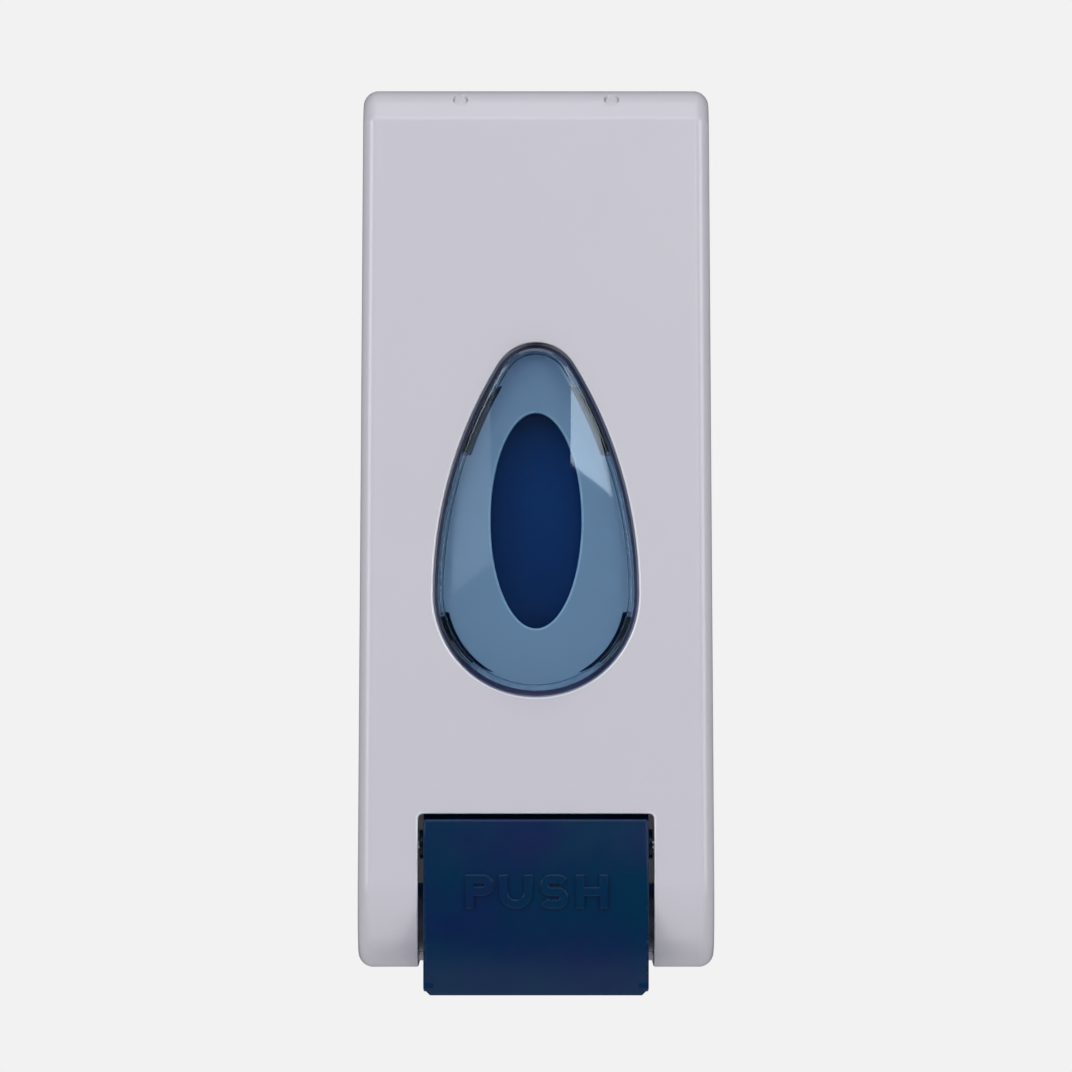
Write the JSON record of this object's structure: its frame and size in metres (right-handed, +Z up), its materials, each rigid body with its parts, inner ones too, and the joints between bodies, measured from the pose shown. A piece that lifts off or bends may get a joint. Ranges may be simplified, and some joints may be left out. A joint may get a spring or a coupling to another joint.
{
  "type": "wall mounted soap dispenser",
  "caption": "Wall mounted soap dispenser: hinged cover with a viewing window and a push button that works a pump under a refillable bottle.",
  "frame": {"origin": "on the wall, at the centre of the four wall screw holes", "axes": "+Z up, -Y out of the wall towards the user, +X to the user's right"},
  "size_m": [0.08, 0.0748, 0.2031],
  "materials": {
    "front_cover": "glossy light grey white ABS",
    "window_lens": "clear blue polycarbonate",
    "push_button": "semi gloss dark blue ABS",
    "button_axle": "ground steel pin",
    "latch_axle": "ground steel pin",
    "wall_plate": "fine textured white ABS",
    "reservoir_bracket": "fine textured white ABS",
    "bracket_screws": "zinc plated steel",
    "hinge_pins": "ground steel pins",
    "reservoir_bottle": "translucent blue polyethylene bottle",
    "reservoir_lid": "satin dark blue polypropylene",
    "lid_gasket": "silicone rubber",
    "neck_gasket": "silicone rubber",
    "pump_collar": "ribbed white polypropylene",
    "pump_housing": "smooth natural polypropylene",
    "valve_cage": "smooth natural polypropylene",
    "inlet_ball": "glass valve ball",
    "pump_cap": "smooth white polypropylene",
    "pump_spring": "stainless spring wire",
    "plunger_stem": "smooth natural polypropylene",
    "piston_seal": "nitrile rubber",
    "outlet_ball": "stainless ball",
    "outlet_spring": "stainless spring wire",
    "nozzle_tip": "dark grey polypropylene",
    "latch_rocker": "smooth white acetal",
    "latch_spring": "stainless spring wire"
  },
  "bodies": {
    "wall_unit": {"wall_plate": "wall_plate", "reservoir_bracket": "reservoir_bracket", "bracket_screws": "bracket_screws", "hinge_pins": "hinge_pins", "reservoir_bottle": "reservoir_bottle", "reservoir_lid": "reservoir_lid", "lid_gasket": "lid_gasket", "neck_gasket": "neck_gasket", "pump_collar": "pump_collar", "pump_housing": "pump_housing", "valve_cage": "valve_cage", "pump_cap": "pump_cap", "pump_spring": "pump_spring"},
    "cover": {"front_cover": "front_cover", "window_lens": "window_lens", "button_axle": "button_axle", "latch_axle": "latch_axle"},
    "button": {"push_button": "push_button"},
    "plunger": {"plunger_stem": "plunger_stem", "piston_seal": "piston_seal", "outlet_spring": "outlet_spring", "nozzle_tip": "nozzle_tip"},
    "inlet_valve": {"inlet_ball": "inlet_ball"},
    "outlet_valve": {"outlet_ball": "outlet_ball"},
    "latch": {"latch_rocker": "latch_rocker", "latch_spring": "latch_spring"}
  },
  "joints": [
    {"name": "cover_hinge", "type": "hinge", "parent": "wall_unit", "child": "cover", "pos_m": [0, -0.005, -0.0955], "axis": [1, 0, 0], "range_deg": [0, 95]},
    {"name": "button_pivot", "type": "hinge", "parent": "cover", "child": "button", "pos_m": [0, -0.066, -0.072], "axis": [1, 0, 0], "range_deg": [0, 17], "stiffness_Nm_per_rad": 0.276, "springref_deg": -17.53},
    {"name": "plunger_slide", "type": "slide", "parent": "wall_unit", "child": "plunger", "axis": [0, 0, 1], "range_m": [0, 0.0085], "deforming": ["pump_spring"]},
    {"name": "inlet_ball_travel", "type": "slide", "parent": "wall_unit", "child": "inlet_valve", "axis": [0, 0, 1], "range_m": [0, 0.0011]},
    {"name": "outlet_ball_travel", "type": "slide", "parent": "plunger", "child": "outlet_valve", "axis": [0, 0, -1], "range_m": [0, 0.0012], "stiffness_N_per_m": 60, "springref_m": -0.004, "deforming": ["outlet_spring"]},
    {"name": "latch_pivot", "type": "hinge", "parent": "cover", "child": "latch", "pos_m": [0, -0.03, 0.0902], "axis": [1, 0, 0], "range_deg": [0, 3.6], "stiffness_Nm_per_rad": 0.06, "springref_deg": -20.05}
  ],
  "couplings": [
    {"joint": "plunger_slide", "follows": "button_pivot", "m_per_rad": 0.0281}
  ]
}
